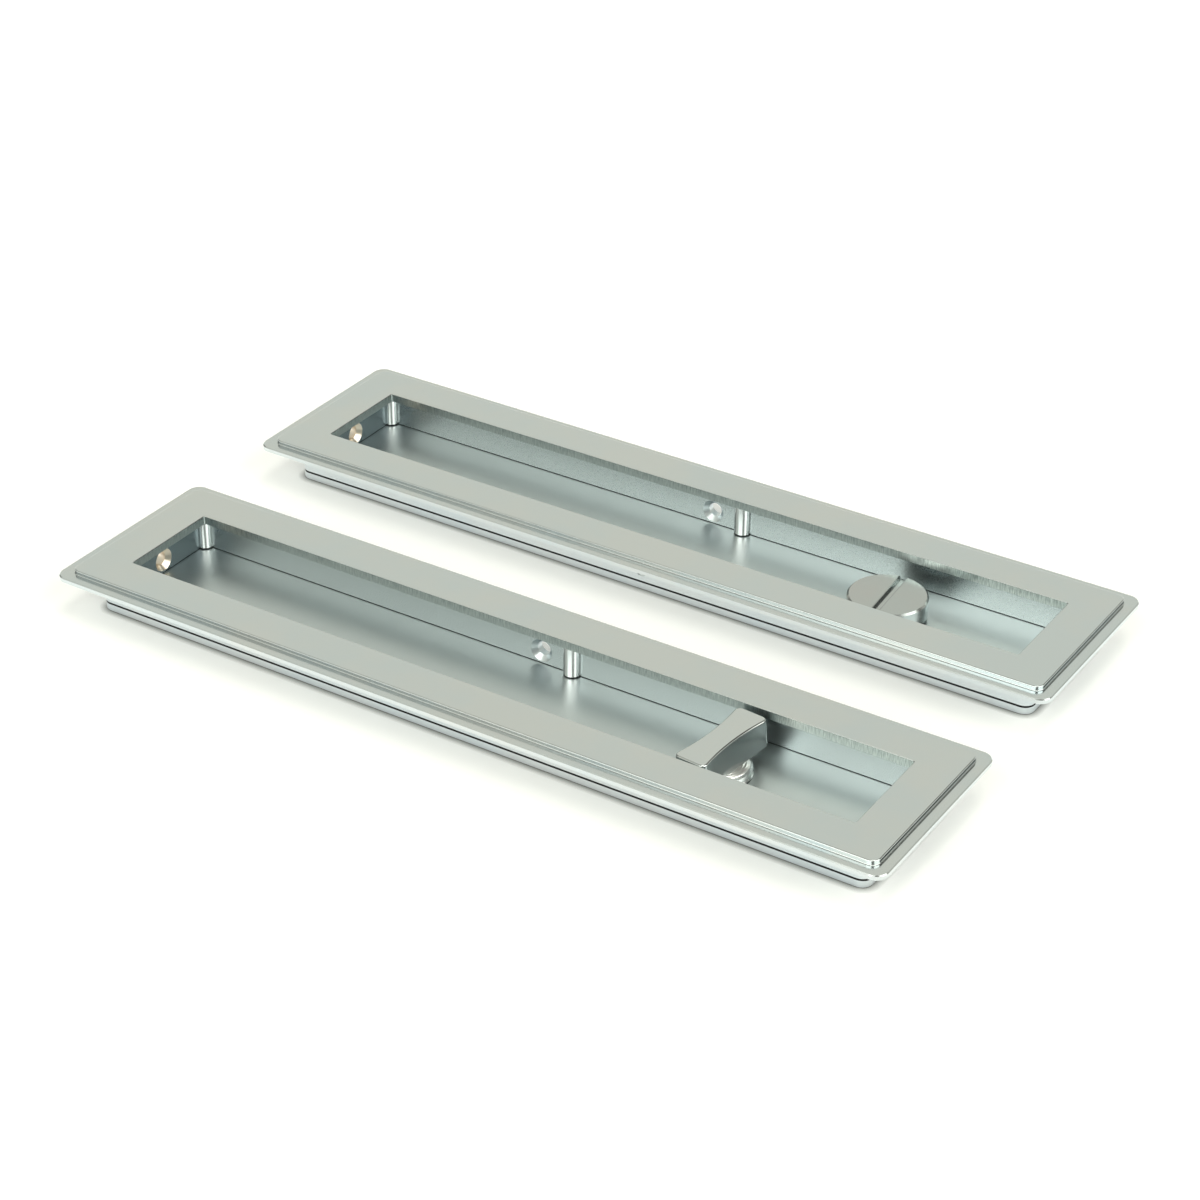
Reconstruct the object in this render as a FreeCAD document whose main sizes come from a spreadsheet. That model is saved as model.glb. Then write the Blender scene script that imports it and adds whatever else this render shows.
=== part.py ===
import FreeCAD, Part
import math
import os

import Sketcher
from FreeCAD import Placement, Rotation, Vector

# Rectangular pull privacy set: two flush pulls for a sliding door, lying on their backs side by side.
# The inside pull carries a thumbturn and the outside pull a slotted emergency release.
# Millimetres, +Z up. The origin is on the resting surface, midway between the two pulls. X runs along them.

# Driving dimensions: name, millimetres (or degrees for the angles), meaning.
SIZES = (
    ("overall_length", 250.0, "flange, end to end"),
    ("overall_width", 60.0, "flange, side to side"),
    ("pull_height", 13.5, "back of the base plate to the raised face"),
    ("pull_pitch", 88.0, "centre line to centre line of the two pulls"),
    ("flange_thickness", 1.3, "edge of the flange"),
    ("flange_corner", 3.5, "corner radius of the flange"),
    ("flange_chamfer", 0.25, "flange's top edge"),
    ("ledge_width", 3.3, "flange left showing round the raised face"),
    ("step_height", 1.3, "raised face above the flange"),
    ("step_corner", 2.5, "corner radius of the raised face"),
    ("step_edge_round", 0.35, "rounding of the raised face's top edge"),
    ("step_foot_round", 0.3, "fillet where the step meets the flange"),
    ("end_border", 15.0, "face plate from its end to the finger opening"),
    ("side_border", 14.85, "face plate from its side to the finger opening"),
    ("opening_corner", 0.4, "corner radius of the opening"),
    ("lip_chamfer", 0.15, "edges of the lip"),
    ("undercut", 2.5, "how far the cavity runs back under the lip"),
    ("cavity_corner", 1.0, "corner radius of the cavity"),
    ("side_wall", 3.35, "long walls"),
    ("end_wall", 4.5, "end walls, thicker to hold the end screws"),
    ("case_corner", 3.0, "corner radius of the walls and the base plate"),
    ("base_thickness", 2.25, "base plate"),
    ("base_chamfer", 0.2, "edges of the base plate"),
    ("shadow_gap", 0.2, "between the walls and the base plate"),
    ("pillar_diameter", 4.7, "turned pillars"),
    ("pillar_chamfer", 0.4, "foot of each pillar"),
    ("pillar_clearance", 0.02, "round each pillar in its groove"),
    ("middle_pillar_offset", 9.7, "middle pillars, along X from the pull's centre"),
    ("tapped_depth", 5.0, "screw hole in each pillar"),
    ("screw_diameter", 2.5, "base screws"),
    ("screw_length", 5.5, "base screws, head included"),
    ("screw_head_diameter", 4.7, "base screws"),
    ("screw_head_recess", 0.15, "screw head below the back of the base plate"),
    ("screw_key", 1.5, "hexagon socket across flats"),
    ("screw_key_depth", 0.8, "hexagon socket"),
    ("screw_hole_clearance", 0.15, "round the screw in the base plate"),
    ("thread_clearance", 0.02, "round the screw in the pillar, and at the head's seat"),
    ("fixing_hole_diameter", 4.0, "one fixing hole in each wall"),
    ("fixing_sink_diameter", 6.6, "countersink on the cavity side"),
    ("fixing_hole_height", 6.1, "hole axis above the back"),
    ("turn_offset", 64.7, "turn's axis, along X from the pull's centre"),
    ("shank_diameter", 10.0, "turn's shank"),
    ("shank_clearance", 0.05, "round the shank in its bush"),
    ("bush_stem_diameter", 12.5, "bush in the base plate"),
    ("bush_flange_diameter", 16.6, "bush flange on the cavity floor"),
    ("bush_flange_thickness", 0.85, "bush flange"),
    ("bush_clearance", 0.02, "round the bush in the base plate"),
    ("bush_chamfer", 0.15, "top edge of the bush flange"),
    ("turn_gap", 0.15, "between the bush flange and the turn"),
    ("end_float", 0.05, "between the retaining washer and the bush"),
    ("pocket_diameter", 18.0, "pocket for the retaining washer"),
    ("pocket_depth", 1.1, "pocket for the retaining washer"),
    ("washer_diameter", 16.0, "retaining washer"),
    ("washer_thickness", 0.9, "retaining washer"),
    ("tail_diameter", 8.6, "shank's tail in the washer"),
    ("tail_flare", 0.4, "riveted flare of the tail"),
    ("tail_clearance", 0.01, "round the tail in the washer"),
    ("socket_width", 5.1, "square socket for a 5 mm spindle"),
    ("thumbturn_socket_depth", 9.0, "from the back of the base plate"),
    ("release_socket_depth", 5.8, "from the back of the base plate"),
    ("collar_diameter", 16.1, "round collar under the thumbturn's grip"),
    ("collar_height", 2.0, "collar"),
    ("collar_round", 1.1, "rounding of the collar's top edge"),
    ("collar_chamfer", 0.2, "collar's lower edge"),
    ("grip_end_gap", 1.45, "end of the grip's top from the side of the opening"),
    ("grip_end_slope", 0.3, "how far the grip's foot reaches past its top at each end"),
    ("grip_top_gap", 0.7, "top of the grip below the raised face"),
    ("grip_corner", 1.6, "plan corners of the grip"),
    ("grip_waist_top", 6.8, "width at the waist, top of the grip"),
    ("grip_waist_foot", 9.9, "width at the waist, foot of the grip"),
    ("grip_hollow_top", 66.0, "radius of the hollowed sides, top of the grip"),
    ("grip_hollow_foot", 600.0, "radius of the hollowed sides, foot of the grip"),
    ("grip_edge_round", 0.6, "rounding of the grip's top edge"),
    ("thumbturn_angle", -5.2, "grip from square across the pull"),
    ("disc_diameter", 22.0, "release disc"),
    ("disc_top_drop", 4.6, "top of the disc below the raised face"),
    ("disc_chamfer", 0.5, "rim of the disc"),
    ("disc_foot_chamfer", 0.3, "lower edge of the disc"),
    ("slot_width", 2.1, "coin slot"),
    ("slot_depth", 1.1, "coin slot"),
    ("slot_chamfer", 0.2, "edges of the coin slot"),
    ("release_angle", 4.4, "slot from square across the pull"),
)

SHEET = "dims"
TINY = 1e-4
COUNTERSINK_ANGLE = 90
HEX_SIDES = 6


class Size:
    """A size with its number and the sheet expression that gives it, so that both stay the same."""

    def __init__(self, number, text):
        self.number = number
        self.text = text

    def _join(self, other, mark, number):
        text = other.text if isinstance(other, Size) else repr(other)
        return Size(number, f"({self.text} {mark} {text})")

    def __add__(self, other):
        return self._join(other, "+", self.number + plain(other))

    def __sub__(self, other):
        return self._join(other, "-", self.number - plain(other))

    def __mul__(self, other):
        return self._join(other, "*", self.number * plain(other))

    def __truediv__(self, other):
        return self._join(other, "/", self.number / plain(other))

    def __neg__(self):
        return Size(-self.number, f"(-1 * {self.text})")

    __rmul__ = __mul__


def plain(value):
    return value.number if isinstance(value, Size) else value


def make_sheet(doc):
    """Fills the spreadsheet and returns each driving dimension as a Size, by name."""
    sheet = doc.addObject("Spreadsheet::Sheet", SHEET)
    sizes = {}
    for row, (name, value, meaning) in enumerate(SIZES, start=1):
        sheet.set(f"A{row}", name)
        sheet.set(f"B{row}", str(value))
        sheet.setAlias(f"B{row}", name)
        sheet.set(f"C{row}", meaning)
        sizes[name] = Size(value, f"{SHEET}.{name}")
    doc.recompute()
    return sizes


class Dims:
    """The driving dimensions, and the sizes that several pieces share."""

    def __init__(self, sizes):
        self.__dict__.update(sizes)
        self.flange_top = self.pull_height - self.step_height
        self.flange_foot = self.flange_top - self.flange_thickness
        self.wall_foot = self.base_thickness + self.shadow_gap
        self.opening_length = self.overall_length - 2 * self.end_border
        self.opening_width = self.overall_width - 2 * self.side_border
        self.raised_length = self.overall_length - 2 * self.ledge_width
        self.raised_width = self.overall_width - 2 * self.ledge_width
        self.cavity_length = self.opening_length + 2 * self.undercut
        self.cavity_width = self.opening_width + 2 * self.undercut
        self.case_length = self.cavity_length + 2 * self.end_wall
        self.case_width = self.cavity_width + 2 * self.side_wall
        self.pillar_x = (self.opening_length + self.pillar_diameter) / 2
        self.pillar_y = (self.opening_width + self.pillar_diameter) / 2
        self.grip_length = self.opening_width - 2 * self.grip_end_gap
        self.grip_foot_length = self.grip_length + 2 * self.grip_end_slope
        self.bush_top = self.base_thickness + self.bush_flange_thickness
        self.turn_foot = self.bush_top + self.turn_gap
        self.washer_top = self.pocket_depth - self.end_float
        self.washer_foot = self.washer_top - self.washer_thickness

    def pillar_places(self):
        """Name, x and y of each pillar: four in the corners, two part way along the sides."""
        rows = (("back", self.pillar_y), ("front", -self.pillar_y))
        columns = (("left", -self.pillar_x), ("middle", self.middle_pillar_offset), ("right", self.pillar_x))
        return [(f"{side}_{place}", x, y) for side, y in rows for place, x in columns]


# Sketches

def new_sketch(body, name, plane="XY_Plane", offset=None):
    """A sketch on one of the body's own planes, raised along the plane's normal by offset."""
    sketch = body.newObject("Sketcher::SketchObject", name)
    base = [part for part in body.Origin.OriginFeatures if part.Role == plane][0]
    sketch.AttachmentSupport = [(base, "")]
    sketch.MapMode = "FlatFace"
    if offset is not None:
        sketch.setExpression("AttachmentOffset.Base.z", offset.text)
    return sketch


def drive(sketch, size, kind, *where):
    """Adds one dimension to the sketch and binds it to the sheet."""
    index = sketch.addConstraint(Sketcher.Constraint(kind, *where, size.number))
    sketch.setExpression(f"Constraints[{index}]", size.text)


def arc(x, y, radius, start, end):
    circle = Part.Circle(Vector(x, y, 0), Vector(0, 0, 1), radius)
    return Part.ArcOfCircle(circle, math.radians(start), math.radians(end))


def rounded_rectangle(sketch, length, width, corner):
    """A rectangle centred on the sketch's origin, with rounded corners."""
    x, y, r = length.number / 2, width.number / 2, corner.number
    corners = ((x - r, y - r, 0), (r - x, y - r, 90), (r - x, r - y, 180), (x - r, r - y, 270))
    ends = (
        ((x, r - y), (x, y - r)), ((x - r, y), (r - x, y)),
        ((-x, y - r), (-x, r - y)), ((r - x, -y), (x - r, -y)),
    )
    lines = [sketch.addGeometry(Part.LineSegment(Vector(*a, 0), Vector(*b, 0))) for a, b in ends]
    arcs = [sketch.addGeometry(arc(cx, cy, r, turn, turn + 90)) for cx, cy, turn in corners]
    for i in range(4):
        sketch.addConstraint(Sketcher.Constraint("Tangent", lines[i], 2, arcs[i], 1))
        sketch.addConstraint(Sketcher.Constraint("Tangent", arcs[i], 2, lines[(i + 1) % 4], 1))
        sketch.addConstraint(Sketcher.Constraint("Vertical" if i % 2 == 0 else "Horizontal", lines[i]))
    for i in range(1, 4):
        sketch.addConstraint(Sketcher.Constraint("Equal", arcs[0], arcs[i]))
    sketch.addConstraint(Sketcher.Constraint("Symmetric", arcs[0], 3, arcs[2], 3, -1, 1))
    drive(sketch, corner, "Radius", arcs[0])
    drive(sketch, length, "DistanceX", lines[2], 1, lines[0], 1)
    drive(sketch, width, "DistanceY", lines[3], 1, lines[1], 1)


def place_point(sketch, geometry, point, x, y):
    """Holds one point of the sketch at x, y, each a Size or zero."""
    if plain(x) == 0:
        sketch.addConstraint(Sketcher.Constraint("PointOnObject", geometry, point, -2))
    else:
        drive(sketch, x, "DistanceX", -1, 1, geometry, point)
    if plain(y) == 0:
        sketch.addConstraint(Sketcher.Constraint("PointOnObject", geometry, point, -1))
    else:
        drive(sketch, y, "DistanceY", -1, 1, geometry, point)


def polygon(sketch, points):
    """A closed outline through the given points, each held where it is."""
    numbers = [Vector(plain(x), plain(y), 0) for x, y in points]
    count = len(points)
    lines = []
    for i in range(count):
        lines.append(sketch.addGeometry(Part.LineSegment(numbers[i], numbers[(i + 1) % count])))
    for i in range(count):
        sketch.addConstraint(Sketcher.Constraint("Coincident", lines[i], 2, lines[(i + 1) % count], 1))
    for i, (x, y) in enumerate(points):
        place_point(sketch, lines[i], 1, x, y)


def circles(sketch, places, diameter):
    """Circles of one diameter at the given places."""
    for x, y in places:
        centre = Vector(plain(x), plain(y), 0)
        index = sketch.addGeometry(Part.Circle(centre, Vector(0, 0, 1), diameter.number / 2))
        place_point(sketch, index, 3, x, y)
        drive(sketch, diameter, "Diameter", index)


def waisted_outline(sketch, length, waist, hollow, corner):
    """A bar seen from above, along Y: hollowed long sides, straight ends and round corners, all tangent."""
    reach, half, r, big = length.number / 2, waist.number / 2, corner.number, hollow.number
    lean = math.degrees(math.asin((reach - r) / (big + r)))
    corner_x = half + big - (big + r) * math.cos(math.radians(lean))
    corner_y = reach - r
    sides = [
        sketch.addGeometry(arc(half + big, 0, big, 180 - lean, 180 + lean)),
        sketch.addGeometry(arc(-half - big, 0, big, -lean, lean)),
    ]
    corners = [
        sketch.addGeometry(arc(corner_x, corner_y, r, -lean, 90)),
        sketch.addGeometry(arc(-corner_x, corner_y, r, 90, 180 + lean)),
        sketch.addGeometry(arc(-corner_x, -corner_y, r, 180 - lean, 270)),
        sketch.addGeometry(arc(corner_x, -corner_y, r, 270, 360 + lean)),
    ]
    ends = [
        sketch.addGeometry(Part.LineSegment(Vector(corner_x, reach, 0), Vector(-corner_x, reach, 0))),
        sketch.addGeometry(Part.LineSegment(Vector(-corner_x, -reach, 0), Vector(corner_x, -reach, 0))),
    ]
    joins = (
        (sides[0], 1, corners[0], 1), (corners[0], 2, ends[0], 1), (ends[0], 2, corners[1], 1),
        (corners[1], 2, sides[1], 2), (sides[1], 1, corners[2], 1), (corners[2], 2, ends[1], 1),
        (ends[1], 2, corners[3], 1), (corners[3], 2, sides[0], 2),
    )
    for join in joins:
        sketch.addConstraint(Sketcher.Constraint("Tangent", *join))
    for end in ends:
        sketch.addConstraint(Sketcher.Constraint("Horizontal", end))
    for other in corners[1:]:
        sketch.addConstraint(Sketcher.Constraint("Equal", corners[0], other))
    sketch.addConstraint(Sketcher.Constraint("Equal", sides[0], sides[1]))
    drive(sketch, corner, "Radius", corners[0])
    drive(sketch, hollow, "Radius", sides[0])
    place_point(sketch, sides[0], 3, waist / 2 + hollow, 0)
    place_point(sketch, sides[1], 3, -(waist / 2 + hollow), 0)
    drive(sketch, length / 2, "DistanceY", -1, 1, ends[0], 1)
    drive(sketch, length, "DistanceY", ends[1], 1, ends[0], 2)


# Features

def new_body(doc, name):
    body = doc.addObject("PartDesign::Body", name)
    body.Label = name
    return body


def finish_feature(body, feature, grows):
    """Recomputes the feature and checks that it added or took away material."""
    before = feature.BaseFeature.Shape.Volume if feature.BaseFeature else 0.0
    body.Document.recompute()
    body.Tip = feature
    change = feature.Shape.Volume - before
    if (change > TINY) != grows or abs(change) <= TINY:
        raise ValueError(f"{body.Label}: {feature.Name} changed the volume by {change:.4f}")
    return feature


def pad(body, name, sketch, height):
    feature = body.newObject("PartDesign::Pad", name)
    feature.Profile = sketch
    feature.setExpression("Length", height.text)
    return finish_feature(body, feature, True)


def pocket(body, name, sketch, height):
    """Cuts upwards from the sketch."""
    feature = body.newObject("PartDesign::Pocket", name)
    feature.Profile = sketch
    feature.Reversed = True
    feature.setExpression("Length", height.text)
    return finish_feature(body, feature, False)


def revolve(body, name, sketch, kind="PartDesign::Revolution", axis="V_Axis"):
    feature = body.newObject(kind, name)
    feature.Profile = sketch
    feature.ReferenceAxis = (sketch, [axis])
    feature.Angle = 360
    return finish_feature(body, feature, kind == "PartDesign::Revolution")


def edges_where(shape, wanted):
    """Names of the edges whose ends and middle all satisfy wanted(point)."""
    names = []
    for index, edge in enumerate(shape.Edges, start=1):
        middle = edge.valueAt((edge.FirstParameter + edge.LastParameter) / 2)
        points = [vertex.Point for vertex in edge.Vertexes] + [middle]
        if all(wanted(point) for point in points):
            names.append(f"Edge{index}")
    return names


def dress(body, name, kind, wanted, size):
    """Fillets or chamfers the edges of the body's last feature that wanted(point) picks."""
    last = body.Tip
    edges = edges_where(last.Shape, wanted)
    if not edges:
        raise ValueError(f"{body.Label}: no edges for {name}")
    feature = body.newObject(kind, name)
    feature.Base = (last, edges)
    feature.setExpression("Radius" if kind == "PartDesign::Fillet" else "Size", size.text)
    body.Document.recompute()
    body.Tip = feature
    return feature


def at_height(point, height):
    return abs(point.z - height.number) < TINY


def within(point, length, width):
    """True on or inside the upright box of this length and width about the Z axis."""
    return abs(point.x) < length.number / 2 + TINY and abs(point.y) < width.number / 2 + TINY


# Pieces

def make_face_plate(doc, d, pull):
    """One casting: flange, raised face, finger lip and the four walls with their fixing holes."""
    body = new_body(doc, f"{pull}_face_plate")
    outline = new_sketch(body, "flange_outline", offset=d.flange_foot)
    rounded_rectangle(outline, d.overall_length, d.overall_width, d.flange_corner)
    pad(body, "flange", outline, d.flange_thickness)

    outline = new_sketch(body, "raised_outline", offset=d.flange_top)
    rounded_rectangle(outline, d.raised_length, d.raised_width, d.step_corner)
    pad(body, "raised_face", outline, d.step_height)

    outline = new_sketch(body, "case_outline", offset=d.wall_foot)
    rounded_rectangle(outline, d.case_length, d.case_width, d.case_corner)
    pad(body, "walls", outline, d.flange_foot - d.wall_foot)

    outline = new_sketch(body, "cavity_outline", offset=d.wall_foot)
    rounded_rectangle(outline, d.cavity_length, d.cavity_width, d.cavity_corner)
    pocket(body, "cavity", outline, d.flange_foot - d.wall_foot)

    outline = new_sketch(body, "opening_outline", offset=d.flange_foot)
    rounded_rectangle(outline, d.opening_length, d.opening_width, d.opening_corner)
    pocket(body, "opening", outline, d.pull_height - d.flange_foot)

    cut_fixing_holes(body, d)
    cut_pillar_grooves(body, d)
    dress_face_plate(body, d)
    return body


def cut_fixing_holes(body, d):
    """A countersunk hole through each wall, turned about X for the ends and about Y for the sides."""
    sink = (d.fixing_sink_diameter - d.fixing_hole_diameter) / 2
    walls = (
        ("end", "H_Axis", d.cavity_length / 2, d.case_length / 2),
        ("side", "V_Axis", d.cavity_width / 2, d.case_width / 2),
    )
    for name, axis, inner, outer in walls:
        for hand in (1, -1):
            section = new_sketch(body, f"{name}_hole_section", offset=d.fixing_hole_height)
            reach = (
                (inner, 0), (inner, d.fixing_sink_diameter / 2),
                (inner + sink, d.fixing_hole_diameter / 2), (outer, d.fixing_hole_diameter / 2), (outer, 0),
            )
            points = [(along if hand > 0 else -along, across) for along, across in reach]
            if axis == "V_Axis":
                points = [(across, along) for along, across in points]
            polygon(section, points)
            revolve(body, f"{name}_hole", section, "PartDesign::Groove", axis)


def cut_pillar_grooves(body, d):
    """Round grooves in the walls, in which the pillars stand."""
    outline = new_sketch(body, "pillar_grooves_outline", offset=d.wall_foot)
    places = [(x, y) for _, x, y in d.pillar_places()]
    circles(outline, places, d.pillar_diameter + 2 * d.pillar_clearance)
    pocket(body, "pillar_grooves", outline, d.flange_foot - d.wall_foot)


def dress_face_plate(body, d):
    def raised_rim(point):
        return at_height(point, d.pull_height) and not within(point, d.opening_length, d.opening_width)

    def step_foot(point):
        return at_height(point, d.flange_top) and within(point, d.raised_length, d.raised_width)

    def flange_rim(point):
        return at_height(point, d.flange_top) and not within(point, d.raised_length, d.raised_width)

    def lip(point):
        level = at_height(point, d.pull_height) or at_height(point, d.flange_foot)
        return level and within(point, d.opening_length, d.opening_width)

    dress(body, "step_edge_round", "PartDesign::Fillet", raised_rim, d.step_edge_round)
    dress(body, "step_foot_round", "PartDesign::Fillet", step_foot, d.step_foot_round)
    dress(body, "flange_chamfer", "PartDesign::Chamfer", flange_rim, d.flange_chamfer)
    dress(body, "lip_chamfer", "PartDesign::Chamfer", lip, d.lip_chamfer)


def make_base_plate(doc, d, pull):
    """The floor of the pull, with the turn's hole, the washer's pocket and six countersunk screw holes."""
    body = new_body(doc, f"{pull}_base_plate")
    outline = new_sketch(body, "base_outline")
    rounded_rectangle(outline, d.case_length, d.case_width, d.case_corner)
    pad(body, "plate", outline, d.base_thickness)

    outline = new_sketch(body, "washer_pocket_outline")
    circles(outline, [(d.turn_offset, 0)], d.pocket_diameter)
    pocket(body, "washer_pocket", outline, d.pocket_depth)

    outline = new_sketch(body, "bush_hole_outline")
    circles(outline, [(d.turn_offset, 0)], d.bush_stem_diameter + 2 * d.bush_clearance)
    pocket(body, "bush_hole", outline, d.base_thickness)

    outline = new_sketch(body, "screw_hole_places")
    hole = d.screw_diameter + 2 * d.screw_hole_clearance
    circles(outline, [(x, y) for _, x, y in d.pillar_places()], hole)
    sink = body.newObject("PartDesign::Hole", "screw_holes")
    sink.Profile = outline
    doc.recompute()
    sink.Reversed = True
    sink.DepthType = "ThroughAll"
    sink.HoleCutType = "Countersink"
    sink.HoleCutCustomValues = True
    sink.HoleCutCountersinkAngle = COUNTERSINK_ANGLE
    sink.setExpression("Diameter", hole.text)
    sink.setExpression("HoleCutDiameter", (d.screw_head_diameter + 2 * d.screw_head_recess).text)
    finish_feature(body, sink, False)

    def rims(point):
        level = at_height(point, d.base_thickness) or abs(point.z) < TINY
        past_end = abs(point.x) > d.pillar_x.number + d.screw_head_diameter.number
        past_side = abs(point.y) > d.pillar_y.number + d.screw_head_diameter.number / 2 + TINY
        return level and (past_end or past_side)

    dress(body, "base_chamfer", "PartDesign::Chamfer", rims, d.base_chamfer)
    return body


def make_pillar(doc, d, pull, place, x, y):
    """A turned pillar from the base plate to the lip, tapped from below."""
    body = new_body(doc, f"{pull}_pillar_{place}")
    section = new_sketch(body, "pillar_section", "XZ_Plane")
    radius = d.pillar_diameter / 2
    bore = d.screw_diameter / 2 + d.thread_clearance
    foot = d.base_thickness
    polygon(section, [
        (bore, foot), (radius - d.pillar_chamfer, foot), (radius, foot + d.pillar_chamfer),
        (radius, d.flange_foot), (0, d.flange_foot), (0, foot + d.tapped_depth),
        (bore, foot + d.tapped_depth),
    ])
    revolve(body, "pillar", section)
    body.setExpression("Placement.Base.x", x.text)
    body.setExpression("Placement.Base.y", y.text)
    return body


def make_base_screws(doc, d, pull):
    """Six countersunk screws, head down, each with a hexagon socket."""
    screws = []
    seat = d.thread_clearance
    head_radius = d.screw_head_diameter / 2 - seat
    shank_radius = d.screw_diameter / 2
    head_height = head_radius - shank_radius
    for place, x, y in d.pillar_places():
        head = doc.addObject("Part::Cone", f"{pull}_screw_head_{place}")
        head.setExpression("Radius1", head_radius.text)
        head.setExpression("Radius2", shank_radius.text)
        head.setExpression("Height", head_height.text)
        shank = doc.addObject("Part::Cylinder", f"{pull}_screw_shank_{place}")
        shank.setExpression("Radius", shank_radius.text)
        shank.setExpression("Height", (d.screw_length - head_height).text)
        blank = doc.addObject("Part::Fuse", f"{pull}_screw_blank_{place}")
        blank.Base = head
        blank.Tool = shank
        key = doc.addObject("Part::Prism", f"{pull}_screw_key_{place}")
        key.Polygon = HEX_SIDES
        key.setExpression("Circumradius", (d.screw_key / math.sqrt(3)).text)
        key.setExpression("Height", d.screw_key_depth.text)
        screw = doc.addObject("Part::Cut", f"{pull}_screw_{place}")
        screw.Base = blank
        screw.Tool = key
        for piece in (head, shank, key):
            piece.setExpression("Placement.Base.x", x.text)
            piece.setExpression("Placement.Base.y", y.text)
            rise = d.screw_head_recess + head_height if piece is shank else d.screw_head_recess
            piece.setExpression("Placement.Base.z", rise.text)
        screws.append(screw)
    group = doc.addObject("Part::Compound", f"{pull}_base_screws")
    group.Label = f"{pull}_base_screws"
    group.Links = screws
    return group


def make_bush(doc, d, pull):
    """The flanged bush that the turn's shank runs in."""
    body = new_body(doc, f"{pull}_turn_bush")
    section = new_sketch(body, "bush_section", "XZ_Plane")
    bore = d.shank_diameter / 2 + d.shank_clearance
    stem = d.bush_stem_diameter / 2
    rim = d.bush_flange_diameter / 2
    polygon(section, [
        (bore, d.pocket_depth), (stem, d.pocket_depth), (stem, d.base_thickness), (rim, d.base_thickness),
        (rim, d.bush_top - d.bush_chamfer), (rim - d.bush_chamfer, d.bush_top), (bore, d.bush_top),
    ])
    revolve(body, "bush", section)
    body.setExpression("Placement.Base.x", d.turn_offset.text)
    return body


def make_washer(doc, d, pull):
    """The washer that keeps the turn in its bush, with a flared bore for the riveted tail."""
    body = new_body(doc, f"{pull}_retaining_washer")
    section = new_sketch(body, "washer_section", "XZ_Plane")
    bore = d.tail_diameter / 2 + d.tail_clearance
    rim = d.washer_diameter / 2
    polygon(section, [
        (bore + d.tail_flare, d.washer_foot), (rim, d.washer_foot), (rim, d.washer_top),
        (bore, d.washer_top), (bore, d.washer_foot + d.tail_flare),
    ])
    revolve(body, "washer", section)
    body.setExpression("Placement.Base.x", d.turn_offset.text)
    return body


def shank_points(d):
    """Half section of the shank and its riveted tail, from the axis at the foot up to the turn."""
    tail = d.tail_diameter / 2
    shank = d.shank_diameter / 2
    return [
        (0, d.washer_foot), (tail + d.tail_flare, d.washer_foot), (tail, d.washer_foot + d.tail_flare),
        (tail, d.washer_top), (shank, d.washer_top), (shank, d.turn_foot),
    ]


def cut_socket(body, d, depth):
    """The square socket for the spindle, open at the back."""
    outline = new_sketch(body, "socket_outline")
    half = d.socket_width / 2
    polygon(outline, [(half, half), (-half, half), (-half, -half), (half, -half)])
    pocket(body, "spindle_socket", outline, depth)


def set_turn(body, d, angle):
    """Puts a turn on its axis, at the angle at which it rests."""
    body.Placement = Placement(Vector(0, 0, 0), Rotation(Vector(0, 0, 1), angle.number))
    body.setExpression("Placement.Base.x", d.turn_offset.text)
    body.setExpression("Placement.Rotation.Angle", f"{angle.text} * 1 deg")


def make_thumbturn(doc, d):
    """Waisted grip lofted between two plan outlines, on a round collar and shank."""
    body = new_body(doc, "thumbturn")
    section = new_sketch(body, "collar_section", "XZ_Plane")
    collar = d.collar_diameter / 2
    collar_top = d.turn_foot + d.collar_height
    polygon(section, shank_points(d) + [
        (collar - d.collar_chamfer, d.turn_foot), (collar, d.turn_foot + d.collar_chamfer),
        (collar, collar_top), (0, collar_top),
    ])
    revolve(body, "collar_and_shank", section)

    def collar_edge(point):
        return at_height(point, collar_top)

    dress(body, "collar_round", "PartDesign::Fillet", collar_edge, d.collar_round)

    foot = new_sketch(body, "grip_foot_outline", offset=collar_top)
    waisted_outline(foot, d.grip_foot_length, d.grip_waist_foot, d.grip_hollow_foot, d.grip_corner)
    grip_top = d.pull_height - d.grip_top_gap
    top = new_sketch(body, "grip_top_outline", offset=grip_top)
    waisted_outline(top, d.grip_length, d.grip_waist_top, d.grip_hollow_top, d.grip_corner)
    doc.recompute()
    grip = body.newObject("PartDesign::AdditiveLoft", "grip")
    grip.Profile = foot
    grip.Sections = [top]
    grip.Ruled = False
    finish_feature(body, grip, True)

    def top_edge(point):
        return at_height(point, grip_top)

    dress(body, "grip_edge_round", "PartDesign::Fillet", top_edge, d.grip_edge_round)
    cut_socket(body, d, d.thumbturn_socket_depth)
    set_turn(body, d, d.thumbturn_angle)
    return body


def make_release(doc, d):
    """Plain disc with a coin slot, on its shank."""
    body = new_body(doc, "emergency_release")
    section = new_sketch(body, "disc_section", "XZ_Plane")
    rim = d.disc_diameter / 2
    disc_top = d.pull_height - d.disc_top_drop
    polygon(section, shank_points(d) + [
        (rim - d.disc_foot_chamfer, d.turn_foot), (rim, d.turn_foot + d.disc_foot_chamfer),
        (rim, disc_top - d.disc_chamfer), (rim - d.disc_chamfer, disc_top), (0, disc_top),
    ])
    revolve(body, "disc_and_shank", section)

    outline = new_sketch(body, "slot_outline", offset=disc_top - d.slot_depth)
    half = d.slot_width / 2
    polygon(outline, [(half, rim), (-half, rim), (-half, -rim), (half, -rim)])
    pocket(body, "coin_slot", outline, d.slot_depth)

    def slot_edge(point):
        return at_height(point, disc_top) and abs(abs(point.x) - half.number) < TINY

    dress(body, "slot_chamfer", "PartDesign::Chamfer", slot_edge, d.slot_chamfer)
    cut_socket(body, d, d.release_socket_depth)
    set_turn(body, d, d.release_angle)
    return body


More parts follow.
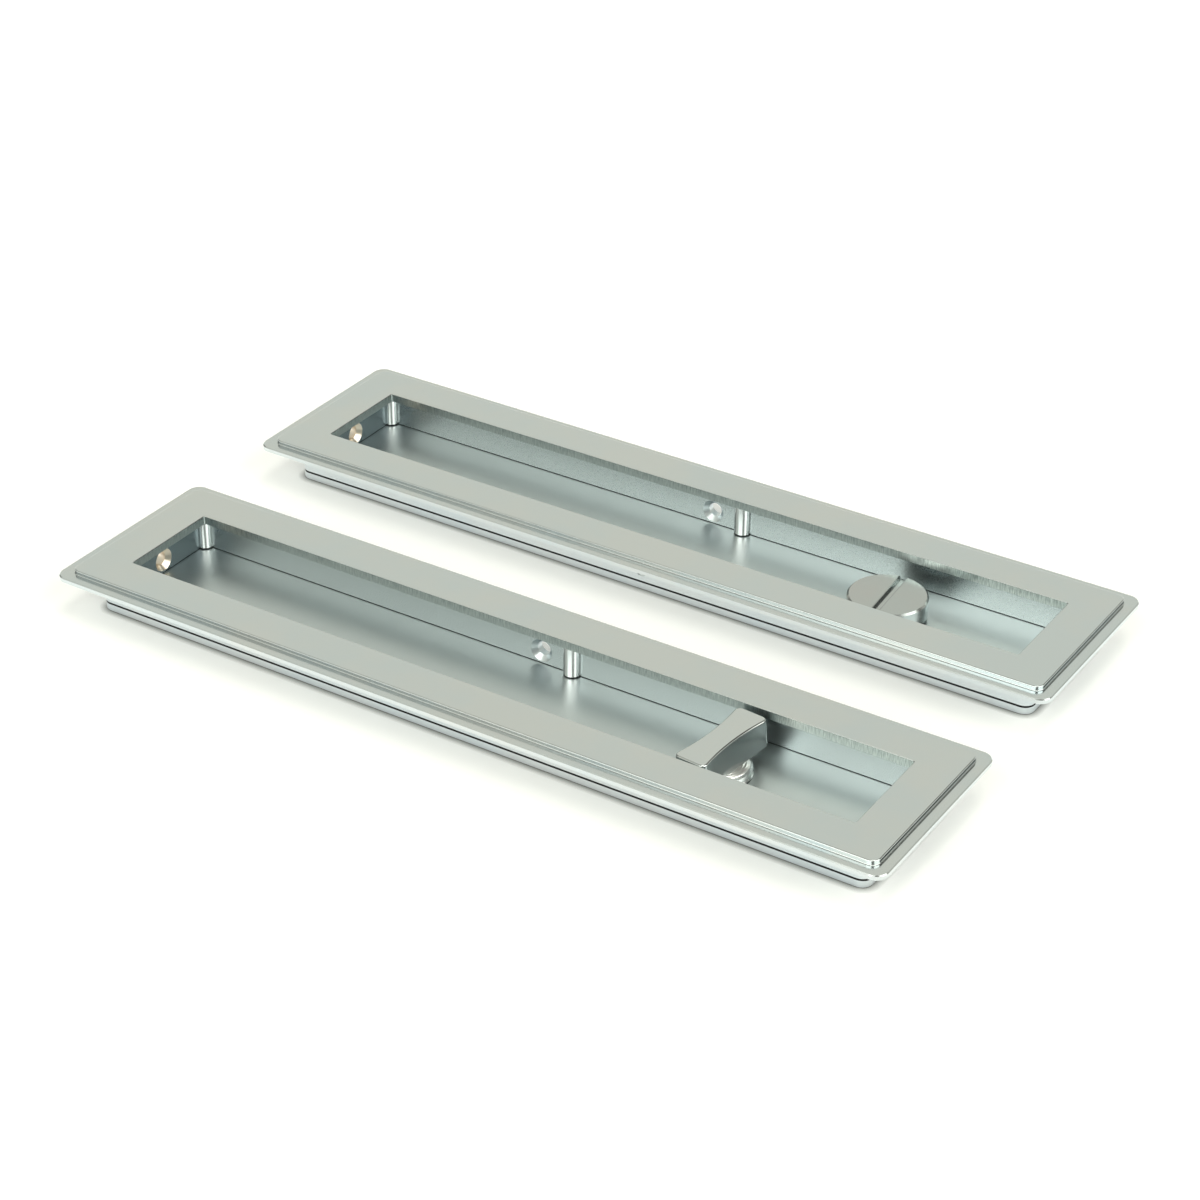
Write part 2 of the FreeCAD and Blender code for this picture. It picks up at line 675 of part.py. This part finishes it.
def make_pull(doc, d, pull, turn, side):
    """All the pieces of one pull, moved to its side of the origin."""
    pieces = [
        make_face_plate(doc, d, pull),
        make_base_plate(doc, d, pull),
        make_base_screws(doc, d, pull),
        make_bush(doc, d, pull),
        make_washer(doc, d, pull),
        turn(doc, d),
    ]
    centre = d.pull_pitch / 2 * side
    for piece in pieces:
        piece.setExpression("Placement.Base.y", centre.text)
    for place, x, y in d.pillar_places():
        pillar = make_pillar(doc, d, pull, place, x, y)
        pillar.setExpression("Placement.Base.y", (centre + y).text)
        pieces.append(pillar)
    return pieces


def check_and_export(doc, pieces):
    doc.recompute()
    for item in doc.Objects:
        if "Invalid" in item.State or "Error" in item.State:
            raise ValueError(f"{item.Name} failed: {item.State}")
    for piece in pieces:
        if piece.Shape.isNull() or not piece.Shape.isValid():
            raise ValueError(f"{piece.Label} has no valid shape")
    os.makedirs("parts", exist_ok=True)
    for piece in pieces:
        piece.Shape.exportStep(f"parts/{piece.Label}.step")
        print(f"{piece.Label}: {len(piece.Shape.Solids)} solid(s), {piece.Shape.Volume:.1f} mm3")


def main():
    doc = FreeCAD.newDocument("privacy_set")
    d = Dims(make_sheet(doc))
    pieces = make_pull(doc, d, "inside", make_thumbturn, -1)
    pieces += make_pull(doc, d, "outside", make_release, 1)
    check_and_export(doc, pieces)


main()
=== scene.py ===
import math

import bpy
from mathutils import Matrix, Vector


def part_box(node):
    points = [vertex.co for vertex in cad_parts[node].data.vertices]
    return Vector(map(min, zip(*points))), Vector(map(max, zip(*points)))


# Satin chrome flush pulls on a white table: finishes, light and camera, in metres, in the solids' frame.

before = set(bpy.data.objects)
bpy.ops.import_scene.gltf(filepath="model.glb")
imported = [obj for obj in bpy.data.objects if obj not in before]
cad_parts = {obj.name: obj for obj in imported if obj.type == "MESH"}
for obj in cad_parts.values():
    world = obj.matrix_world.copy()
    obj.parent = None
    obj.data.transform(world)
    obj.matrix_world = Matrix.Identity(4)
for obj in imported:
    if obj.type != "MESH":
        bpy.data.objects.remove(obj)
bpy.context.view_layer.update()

MM = 0.001

# Camera, as a real one: where it stands, where it looks and how long its lens is
CAMERA_PLACE = Vector((358.62, -564.43, 413.28)) * MM
CAMERA_YAW = math.radians(32.336)
CAMERA_PITCH = math.radians(31.212)
CAMERA_ROLL = math.radians(0.377)
FOCAL_LENGTH = 87.786
SENSOR_WIDTH = 36.0

# Places on a pull where its finish changes, in millimetres from its own centre line and middle. The back
# pillars stand flush with the opening's edge, under the lip.
plate_low, plate_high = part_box("inside_face_plate")
base_low, base_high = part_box("inside_base_plate")
pillar_low, pillar_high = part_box("inside_pillar_back_right")
bush_low, bush_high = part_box("inside_turn_bush")
PULL_CENTRE = -(plate_low.y + plate_high.y) / 2 / MM
FACE_HEIGHT = plate_high.z / MM
WALL_FOOT = plate_low.z / MM
BASE_TOP = base_high.z / MM
LIP_FOOT = pillar_high.z / MM
OPENING_HALF_LENGTH = pillar_low.x / MM
OPENING_HALF_WIDTH = pillar_low.y / MM + PULL_CENTRE
UNDERCUT = 2.5
CAVITY_HALF_LENGTH = OPENING_HALF_LENGTH + UNDERCUT
CAVITY_HALF_WIDTH = OPENING_HALF_WIDTH + UNDERCUT
CASE_HALF_LENGTH = base_high.x / MM
CASE_HALF_WIDTH = base_high.y / MM + PULL_CENTRE
TURN_AXIS = (bush_low + bush_high) / 2 / MM
LIP_CHAMFER = 0.15
BASE_CHAMFER = 0.2
HOLE_HEIGHT = 6.1
HOLE_RADIUS = 3.3
GRIP_FOOT = 5.25
# How high the painted shade reaches up the pillars and bush from the base plate, in millimetres.
PAINTED_FOOT_SHADE_HEIGHT = 0.3
# Where the lip's painted light starts and where it is whole, in millimetres from the turn's axis.
PAINTED_LIGHT_LIP_STARTS = -4
PAINTED_LIGHT_LIP_WHOLE = 12
MARGIN = 0.02
SEAM_MARGIN = 0.2


def set_camera():
    """The camera, turned about the upright, tilted down and rolled a little."""
    forward = Vector((
        -math.sin(CAMERA_YAW) * math.cos(CAMERA_PITCH),
        math.cos(CAMERA_YAW) * math.cos(CAMERA_PITCH),
        -math.sin(CAMERA_PITCH),
    ))
    level = Vector((math.cos(CAMERA_YAW), math.sin(CAMERA_YAW), 0))
    above = level.cross(forward)
    right = math.cos(CAMERA_ROLL) * level + math.sin(CAMERA_ROLL) * above
    up = math.cos(CAMERA_ROLL) * above - math.sin(CAMERA_ROLL) * level
    data = bpy.data.cameras.new("camera")
    data.lens = FOCAL_LENGTH
    data.sensor_width = SENSOR_WIDTH
    data.clip_start = 0.01
    data.clip_end = 20
    camera = bpy.data.objects.new("camera", data)
    camera.matrix_world = Matrix((
        (right.x, up.x, -forward.x, CAMERA_PLACE.x),
        (right.y, up.y, -forward.y, CAMERA_PLACE.y),
        (right.z, up.z, -forward.z, CAMERA_PLACE.z),
        (0, 0, 0, 1),
    ))
    bpy.context.scene.collection.objects.link(camera)
    bpy.context.scene.camera = camera


class Nodes:
    """Adds shader nodes and joins them up."""

    def __init__(self, tree):
        self.tree = tree
        tree.nodes.clear()

    def add(self, kind, inputs=(), **settings):
        node = self.tree.nodes.new(kind)
        for name, value in settings.items():
            setattr(node, name, value)
        for name, value in dict(inputs).items():
            self.put(value, node.inputs[name])
        return node

    def put(self, value, socket):
        """Joins another node's output to a socket, or sets the socket to a constant."""
        if isinstance(value, bpy.types.NodeSocket):
            self.tree.links.new(value, socket)
        else:
            socket.default_value = value

    def math(self, operation, *values):
        node = self.add("ShaderNodeMath", operation=operation)
        for socket, value in zip(node.inputs, values):
            self.put(value, socket)
        return node.outputs[0]

    def ramp(self, value, low, high, low_to=0.0, high_to=1.0, smooth=False):
        kind = "SMOOTHSTEP" if smooth else "LINEAR"
        names = ("Value", "From Min", "From Max", "To Min", "To Max")
        inputs = dict(zip(names, (value, low, high, low_to, high_to)))
        return self.add("ShaderNodeMapRange", inputs, interpolation_type=kind).outputs[0]

    def mix(self, factor, first, second):
        return self.add("ShaderNodeMix", {0: factor, 2: first, 3: second}).outputs[0]

    def mix_colour(self, factor, first, second):
        inputs = {0: factor, 6: first, 7: second}
        return self.add("ShaderNodeMix", inputs, data_type="RGBA").outputs[2]

    def window(self, value, low, high, soft):
        """1 between low and high, falling to 0 over the soft width at both ends."""
        rise = self.ramp(value, low - soft, low + soft, smooth=True)
        fall = self.ramp(value, high - soft, high + soft, 1.0, 0.0, smooth=True)
        return self.math("MULTIPLY", rise, fall)

    def place(self):
        """Where a point lies on its own piece, in millimetres."""
        metres = self.add("ShaderNodeTexCoord").outputs["Object"]
        scaled = self.add("ShaderNodeVectorMath", {0: metres, "Scale": 1 / MM}, operation="SCALE")
        return scaled.outputs[0]

    def noise(self, place, scale, stretch=(1, 1, 1), detail=3.0, roughness=0.5):
        """Grain from 0 to 1, scale to the millimetre."""
        mapping = self.add("ShaderNodeMapping", {"Vector": place, "Scale": stretch})
        inputs = {"Vector": mapping.outputs[0], "Scale": scale, "Detail": detail, "Roughness": roughness}
        return self.add("ShaderNodeTexNoise", inputs).outputs["Fac"]


def new_material(name):
    material = bpy.data.materials.new(name)
    material.use_nodes = True
    return material, Nodes(material.node_tree)


def finish_material(nodes, shader):
    nodes.add("ShaderNodeOutputMaterial", {"Surface": shader.outputs[0]})


# Reflectances. Plated chrome is slightly blue, which shows where the walls of a pull mirror one another.
CHROME = (0.53, 0.58, 0.595, 1)
CHROME_CLOUDED = (0.555, 0.585, 0.585, 1)
CHROME_INSIDE = (0.54, 0.59, 0.60, 1)
# Darker end walls inside the recess: painted shade.
CHROME_END_WALLS_PAINTED_SHADE = (0.35, 0.41, 0.44, 1)
CHROME_TURNED = (0.86, 0.87, 0.86, 1)
CHROME_MILLED_DARK = (0.38, 0.43, 0.43, 1)
CHROME_MILLED_LIGHT = (0.62, 0.67, 0.65, 1)
# Much lighter lip streaks towards the right-hand end: painted light.
CHROME_LIP_PAINTED_LIGHT_DARK = (0.50, 0.56, 0.54, 1)
CHROME_LIP_PAINTED_LIGHT_BRIGHT = (0.90, 0.96, 0.93, 1)
CHROME_POLISHED = (0.78, 0.80, 0.80, 1)
WARM_IN_END_HOLES = (0.80, 0.71, 0.60, 1)
CHROME_IN_HOLES = (0.60, 0.66, 0.68, 1)
CHROME_DISC = (0.43, 0.465, 0.465, 1)
CHROME_DISC_CLOUDED = (0.45, 0.46, 0.455, 1)
# Near black: painted shade in the shadow gap under the walls and where the pillars and bush stand on the
# base plate.
PAINTED_SHADE_BLACK = (0.02, 0.02, 0.02, 1)
STEEL = (0.50, 0.50, 0.51, 1)
STEEL_MARKED = (0.42, 0.42, 0.43, 1)
SATIN_ROUGHNESS = 0.18
WALL_ROUGHNESS = 0.27
FLOOR_ROUGHNESS = 0.34
MILLED_ROUGHNESS = 0.28
HOLE_ROUGHNESS = 0.30
POLISHED_ROUGHNESS = 0.07
RING_ROUGHNESS = 0.28
STEEL_ROUGHNESS = 0.36

# Grain: scales to the millimetre, ring width in millimetres, depths as shares of the bump's own and sways of
# the roughness. The collar's slope is what its cone drops in a millimetre.
BUMP_DEPTH = 0.02 * MM
GRAIN_DEPTH = 0.10
CLOUD_SCALE = 0.04
GRAIN_SCALE = 5.2
STREAK_SCALE = 3.4
TURNING_SCALE = 0.9
MARK_SCALE = 1.5
RING_WIDTH = 0.9
RING_DEPTH = 2.2
COLLAR_SLOPE = 18.0
SATIN_SWAY = 0.03
POLISHED_SWAY = 0.02
STEEL_SWAY = 0.06


def satin_surface(nodes, place, roughness=SATIN_ROUGHNESS, colours=(CHROME, CHROME_CLOUDED)):
    """Colour, roughness and height of satin plate, with faint clouds and a fine, even grain."""
    clouds = nodes.noise(place, CLOUD_SCALE, detail=4, roughness=0.6)
    grain = nodes.noise(place, GRAIN_SCALE, detail=2, roughness=0.6)
    tint = nodes.mix_colour(nodes.ramp(clouds, 0.38, 0.62), *colours)
    rough = nodes.ramp(grain, 0.3, 0.7, roughness - SATIN_SWAY, roughness + SATIN_SWAY)
    return tint, rough, nodes.math("MULTIPLY", grain, GRAIN_DEPTH)


def metal(nodes, colour, rough, height):
    bump = nodes.add("ShaderNodeBump", {"Height": height, "Strength": 1.0, "Distance": BUMP_DEPTH})
    return nodes.add("ShaderNodeBsdfPrincipled", {
        "Base Color": colour, "Metallic": 1.0, "Roughness": rough, "Normal": bump.outputs[0],
    })


class PullPlaces:
    """Masks, 1 on one stretch of a pull and 0 elsewhere, from where a point lies on it."""

    def __init__(self, nodes, place):
        self.nodes = nodes
        axes = nodes.add("ShaderNodeSeparateXYZ", {0: place}).outputs
        self.from_middle = axes["X"]
        self.along = nodes.math("ABSOLUTE", axes["X"])
        off_centre = nodes.math("SUBTRACT", nodes.math("ABSOLUTE", axes["Y"]), PULL_CENTRE)
        self.across = nodes.math("ABSOLUTE", off_centre)
        self.height = axes["Z"]

    def all_of(self, *masks):
        mask = masks[0]
        for other in masks[1:]:
            mask = self.nodes.math("MULTIPLY", mask, other)
        return mask

    def lip(self):
        """The upright faces round the opening."""
        return self.all_of(
            self.nodes.math("LESS_THAN", self.along, OPENING_HALF_LENGTH + LIP_CHAMFER),
            self.nodes.math("LESS_THAN", self.across, OPENING_HALF_WIDTH + LIP_CHAMFER),
            self.nodes.math("GREATER_THAN", self.height, LIP_FOOT + LIP_CHAMFER),
            self.nodes.math("LESS_THAN", self.height, FACE_HEIGHT - LIP_CHAMFER),
        )

    def seam(self):
        """The shadow gap between the walls and the base plate, with the edges on either side of it, where
        painted shade goes.
        """
        outside = self.nodes.math(
            "MAXIMUM",
            self.nodes.math("GREATER_THAN", self.along, CAVITY_HALF_LENGTH),
            self.nodes.math("GREATER_THAN", self.across, CAVITY_HALF_WIDTH),
        )
        return self.all_of(
            outside,
            self.nodes.math("GREATER_THAN", self.height, BASE_TOP - BASE_CHAMFER),
            self.nodes.math("LESS_THAN", self.height, WALL_FOOT + SEAM_MARGIN),
        )

    def painted_light_beyond_turn(self):
        """From the turn to the right-hand end, where the lip is painted lighter as painted light."""
        start = TURN_AXIS.x + PAINTED_LIGHT_LIP_STARTS
        whole = TURN_AXIS.x + PAINTED_LIGHT_LIP_WHOLE
        return self.nodes.ramp(self.from_middle, start, whole, smooth=True)

    def painted_shade_end_walls(self):
        """The end faces of the recess and all beyond them, where the walls get painted shade."""
        return self.nodes.math("GREATER_THAN", self.along, CAVITY_HALF_LENGTH - MARGIN)

    def in_end_walls(self):
        """The holes in the end walls, the only faces within their thickness."""
        return self.all_of(
            self.nodes.math("GREATER_THAN", self.along, CAVITY_HALF_LENGTH + MARGIN),
            self.nodes.math("LESS_THAN", self.along, CASE_HALF_LENGTH - MARGIN),
            self.nodes.math("LESS_THAN", self.across, HOLE_RADIUS),
            self.beside_holes(),
        )

    def in_side_walls(self):
        """The holes in the long walls."""
        return self.all_of(
            self.nodes.math("GREATER_THAN", self.across, CAVITY_HALF_WIDTH + MARGIN),
            self.nodes.math("LESS_THAN", self.across, CASE_HALF_WIDTH - MARGIN),
            self.nodes.math("LESS_THAN", self.along, OPENING_HALF_LENGTH),
            self.beside_holes(),
        )

    def beside_holes(self):
        """The height at which the walls have their holes."""
        rise = self.nodes.math("ABSOLUTE", self.nodes.math("SUBTRACT", self.height, HOLE_HEIGHT))
        return self.nodes.math("LESS_THAN", rise, HOLE_RADIUS)

    def inside(self):
        """The faces round the finger recess below the lip."""
        return self.all_of(
            self.nodes.math("LESS_THAN", self.along, CAVITY_HALF_LENGTH + MARGIN),
            self.nodes.math("LESS_THAN", self.across, CAVITY_HALF_WIDTH + MARGIN),
            self.nodes.math("GREATER_THAN", self.height, BASE_TOP - MARGIN),
            self.nodes.math("LESS_THAN", self.height, LIP_FOOT),
        )


def plated_casting(name):
    """Satin plate with duller walls and a milled lip, painted lighter towards the right-hand end as painted
    light, painted shade on the end walls of the recess, warm-coloured countersinks in the end walls and
    near-black painted shade in the shadow gap.
    """
    material, nodes = new_material(name)
    place = nodes.place()
    tint, rough, height = satin_surface(nodes, place)
    places = PullPlaces(nodes, place)
    lip = places.lip()
    inside = places.inside()
    end_holes = places.in_end_walls()
    side_holes = places.in_side_walls()
    streaks = nodes.noise(place, STREAK_SCALE, stretch=(1, 1, 0.1), detail=3, roughness=0.6)
    streaked = nodes.ramp(streaks, 0.35, 0.65)
    milled = nodes.mix_colour(streaked, CHROME_MILLED_DARK, CHROME_MILLED_LIGHT)
    painted_light_lip = nodes.mix_colour(streaked, CHROME_LIP_PAINTED_LIGHT_DARK, CHROME_LIP_PAINTED_LIGHT_BRIGHT)
    # Painted light: towards the right-hand end the lip's streaks are coloured much lighter.
    milled = nodes.mix_colour(places.painted_light_beyond_turn(), milled, painted_light_lip)
    # Painted shade: the end walls of the recess are coloured darker than the long walls.
    walls = nodes.mix_colour(places.painted_shade_end_walls(), CHROME_INSIDE, CHROME_END_WALLS_PAINTED_SHADE)
    colour = nodes.mix_colour(inside, tint, walls)
    colour = nodes.mix_colour(lip, colour, milled)
    # The holes in the end walls are coloured warm.
    colour = nodes.mix_colour(end_holes, colour, WARM_IN_END_HOLES)
    colour = nodes.mix_colour(side_holes, colour, CHROME_IN_HOLES)
    # Painted shade: the shadow gap and the edges beside it are coloured near black.
    colour = nodes.mix_colour(places.seam(), colour, PAINTED_SHADE_BLACK)
    duller = nodes.math("ADD", rough, WALL_ROUGHNESS - SATIN_ROUGHNESS)
    stretches = (
        (inside, duller), (lip, MILLED_ROUGHNESS),
        (end_holes, HOLE_ROUGHNESS), (side_holes, HOLE_ROUGHNESS),
    )
    for mask, value in stretches:
        rough = nodes.mix(mask, rough, value)
    height = nodes.math("MULTIPLY_ADD", lip, streaks, height)
    finish_material(nodes, metal(nodes, colour, rough, height))
    return material


def plated_base(name):
    """Duller satin plate with near-black painted shade in the shadow gap round the edge."""
    material, nodes = new_material(name)
    place = nodes.place()
    tint, rough, height = satin_surface(nodes, place, FLOOR_ROUGHNESS)
    places = PullPlaces(nodes, place)
    colour = nodes.mix_colour(places.inside(), tint, CHROME_INSIDE)
    # Painted shade: the shadow gap and the edges beside it are coloured near black.
    colour = nodes.mix_colour(places.seam(), colour, PAINTED_SHADE_BLACK)
    finish_material(nodes, metal(nodes, colour, rough, height))
    return material


def plated_turn(name):
    """Satin grip over a turned collar, whose rings and shallow cone are in the bump only."""
    material, nodes = new_material(name)
    place = nodes.place()
    tint, rough, height = satin_surface(nodes, place)
    axes = nodes.add("ShaderNodeSeparateXYZ", {0: place}).outputs
    collar = nodes.math("LESS_THAN", axes["Z"], GRIP_FOOT + MARGIN)
    beside = nodes.math("SUBTRACT", axes["X"], TURN_AXIS.x)
    behind = nodes.math("SUBTRACT", axes["Y"], TURN_AXIS.y)
    squared = nodes.math("ADD", nodes.math("POWER", beside, 2.0), nodes.math("POWER", behind, 2.0))
    radius = nodes.math("SQRT", squared)
    rings = nodes.math("SINE", nodes.math("MULTIPLY", radius, 2 * math.pi / RING_WIDTH))
    colour = nodes.mix_colour(collar, tint, CHROME_TURNED)
    rough = nodes.mix(collar, rough, RING_ROUGHNESS)
    cone = nodes.math("MULTIPLY", radius, -COLLAR_SLOPE)
    turned = nodes.math("MULTIPLY_ADD", rings, RING_DEPTH, cone)
    height = nodes.math("MULTIPLY_ADD", turned, collar, height)
    finish_material(nodes, metal(nodes, colour, rough, height))
    return material


def plated_disc(name):
    """The same plate as the faces, a little darker."""
    material, nodes = new_material(name)
    colours = (CHROME_DISC, CHROME_DISC_CLOUDED)
    finish_material(nodes, metal(nodes, *satin_surface(nodes, nodes.place(), colours=colours)))
    return material


def polished_chrome(name):
    """Turned and polished chrome with a near-black painted shade line where it stands on the base plate."""
    material, nodes = new_material(name)
    place = nodes.place()
    turning = nodes.noise(place, TURNING_SCALE, stretch=(0.1, 0.1, 3), detail=2)
    above = nodes.add("ShaderNodeSeparateXYZ", {0: place}).outputs["Z"]
    # Painted shade: a thin band just above the base plate is coloured near black.
    painted_foot_shade = nodes.math("LESS_THAN", above, BASE_TOP + PAINTED_FOOT_SHADE_HEIGHT)
    colour = nodes.mix_colour(painted_foot_shade, CHROME_POLISHED, PAINTED_SHADE_BLACK)
    low = POLISHED_ROUGHNESS - POLISHED_SWAY
    rough = nodes.ramp(turning, 0.3, 0.7, low, POLISHED_ROUGHNESS + POLISHED_SWAY)
    height = nodes.math("MULTIPLY", turning, GRAIN_DEPTH)
    finish_material(nodes, metal(nodes, colour, rough, height))
    return material


def plain_steel(name):
    """Plain steel with faint marks, for what is hidden."""
    material, nodes = new_material(name)
    marks = nodes.noise(nodes.place(), MARK_SCALE, detail=3)
    colour = nodes.mix_colour(marks, STEEL, STEEL_MARKED)
    rough = nodes.ramp(marks, 0.3, 0.7, STEEL_ROUGHNESS - STEEL_SWAY, STEEL_ROUGHNESS + STEEL_SWAY)
    height = nodes.math("MULTIPLY", marks, GRAIN_DEPTH)
    finish_material(nodes, metal(nodes, colour, rough, height))
    return material


def dress_nodes():
    """Each piece gets the finish of the kind that its name holds."""
    casting = plated_casting("satin_chrome_casting")
    base = plated_base("satin_chrome_base")
    turn = plated_turn("satin_chrome_turn")
    disc = plated_disc("satin_chrome_disc")
    polished = polished_chrome("polished_chrome")
    steel = plain_steel("plain_steel")
    finishes = (
        ("face_plate", casting), ("base_plate", base), ("screws", steel), ("washer", steel),
        ("pillar", polished), ("bush", polished), ("thumbturn", turn), ("release", disc),
    )
    for name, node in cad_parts.items():
        finish = next(material for kind, material in finishes if kind in name)
        node.data.materials.clear()
        node.data.materials.append(finish)


# The table. Its glow is what the camera and the metal see on top of the light that falls on it. Right under
# the pulls it has painted shade from an occlusion test, and the glow that the camera sees fades there too.
TABLE = (0.875, 0.88, 0.875, 1)
TABLE_FIBRES = (0.89, 0.895, 0.89, 1)
# Near black: the painted shade at the pulls' feet.
TABLE_PAINTED_SHADE = (0.03, 0.035, 0.025, 1)
TABLE_GLOW = (0.99, 1.0, 0.98, 1)
TABLE_GLOW_SEEN = 0.16
TABLE_GLOW_MIRRORED = 0.50
TABLE_HALF = 3.0
FIBRE_SCALE = 0.4
CONTACT_REACH = 2.5 * MM


def make_floor():
    """A white table with painted shade right under the pulls. The metal mirrors it brighter than it is seen.
    """
    mesh = bpy.data.meshes.new("table")
    corners = [(x * TABLE_HALF, y * TABLE_HALF, 0) for x, y in ((-1, -1), (1, -1), (1, 1), (-1, 1))]
    mesh.from_pydata(corners, [], [(0, 1, 2, 3)])
    table = bpy.data.objects.new("table", mesh)
    bpy.context.scene.collection.objects.link(table)
    material, nodes = new_material("white_table")
    rays = nodes.add("ShaderNodeLightPath").outputs
    paper = nodes.mix_colour(nodes.noise(nodes.place(), FIBRE_SCALE), TABLE, TABLE_FIBRES)
    # Painted shade: near the pulls the paper is coloured towards near black by ambient occlusion, and the
    # camera's glow fades with it.
    near_sky = nodes.add("ShaderNodeAmbientOcclusion", {"Distance": CONTACT_REACH}).outputs["AO"]
    open_sky = nodes.math("POWER", near_sky, 2.0)
    paper_with_painted_shade = nodes.mix_colour(open_sky, TABLE_PAINTED_SHADE, paper)
    surface = nodes.add("ShaderNodeBsdfDiffuse", {"Color": paper_with_painted_shade})
    seen_open = nodes.math("MULTIPLY", rays["Is Camera Ray"], open_sky)
    seen = nodes.math("MULTIPLY", seen_open, TABLE_GLOW_SEEN)
    strength = nodes.math("MULTIPLY_ADD", rays["Is Glossy Ray"], TABLE_GLOW_MIRRORED, seen)
    glow = nodes.add("ShaderNodeEmission", {"Color": TABLE_GLOW, "Strength": strength})
    both = nodes.add("ShaderNodeAddShader", {0: surface.outputs[0], 1: glow.outputs[0]})
    finish_material(nodes, both)
    mesh.materials.append(material)


# The studio round the table. Each panel has a name, azimuths from the front (-Y) towards the right (+X),
# heights above the table and softness of its edges, all three in degrees, brightness, 1 being white, and
# tint. Later panels hang in front of earlier ones.
ROOM_LEVEL = 0.30
ROOM_TINT = (1.0, 1.0, 0.89, 1)
LAMP_TINT = (1.0, 1.0, 0.92, 1)
PANELS = (
    ("white_wall_back_left", (-190, -110), (-5, 64), 8, 0.93, ROOM_TINT),
    ("white_wall_front_left", (-75, -20), (-5, 60), 8, 0.86, ROOM_TINT),
    ("white_wall_back_right", (130, 190), (-5, 27), 5, 0.75, ROOM_TINT),
    ("black_flag_back_right", (132, 190), (28, 66), 3, 0.08, ROOM_TINT),
    ("grey_card_camera", (32, 54), (0, 70), 4, 0.30, ROOM_TINT),
    ("softbox_front", (-28, 27), (12, 52), 3, 3.4, LAMP_TINT),
    ("softbox_right", (58, 122), (12, 50), 4, 3.2, LAMP_TINT),
    ("softbox_overhead", (0, 180), (70, 120), 5, 4.0, LAMP_TINT),
)


def make_world():
    """Panels that light the set and show in the metal. The camera itself sees plain white."""
    world = bpy.data.worlds.new("studio")
    bpy.context.scene.world = world
    world.use_nodes = True
    nodes = Nodes(world.node_tree)
    direction = nodes.add("ShaderNodeTexCoord").outputs["Generated"]
    axes = nodes.add("ShaderNodeSeparateXYZ", {0: direction}).outputs
    frontward = nodes.math("MULTIPLY", axes["Y"], -1.0)
    azimuth = nodes.math("DEGREES", nodes.math("ARCTAN2", axes["X"], frontward))
    height = nodes.math("DEGREES", nodes.math("ARCSINE", axes["Z"]))
    level = ROOM_LEVEL
    tint = ROOM_TINT
    for name, across, up, soft, strength, colour in PANELS:
        in_azimuth = nodes.window(azimuth, *across, soft)
        inside = nodes.math("MULTIPLY", in_azimuth, nodes.window(height, *up, soft))
        level = nodes.add("ShaderNodeMix", {0: inside, 2: level, 3: strength}, name=name).outputs[0]
        tint = nodes.mix_colour(inside, tint, colour)
    sky = nodes.add("ShaderNodeBackground", {"Color": tint, "Strength": level})
    white = nodes.add("ShaderNodeBackground", {"Color": (1, 1, 1, 1), "Strength": 1.0})
    seen = nodes.add("ShaderNodeLightPath").outputs["Is Camera Ray"]
    mixed = nodes.add("ShaderNodeMixShader", {0: seen, 1: sky.outputs[0], 2: white.outputs[0]})
    nodes.add("ShaderNodeOutputWorld", {"Surface": mixed.outputs[0]})


set_camera()
make_floor()
make_world()
dress_nodes()

bpy.context.scene.view_settings.view_transform = "Standard"
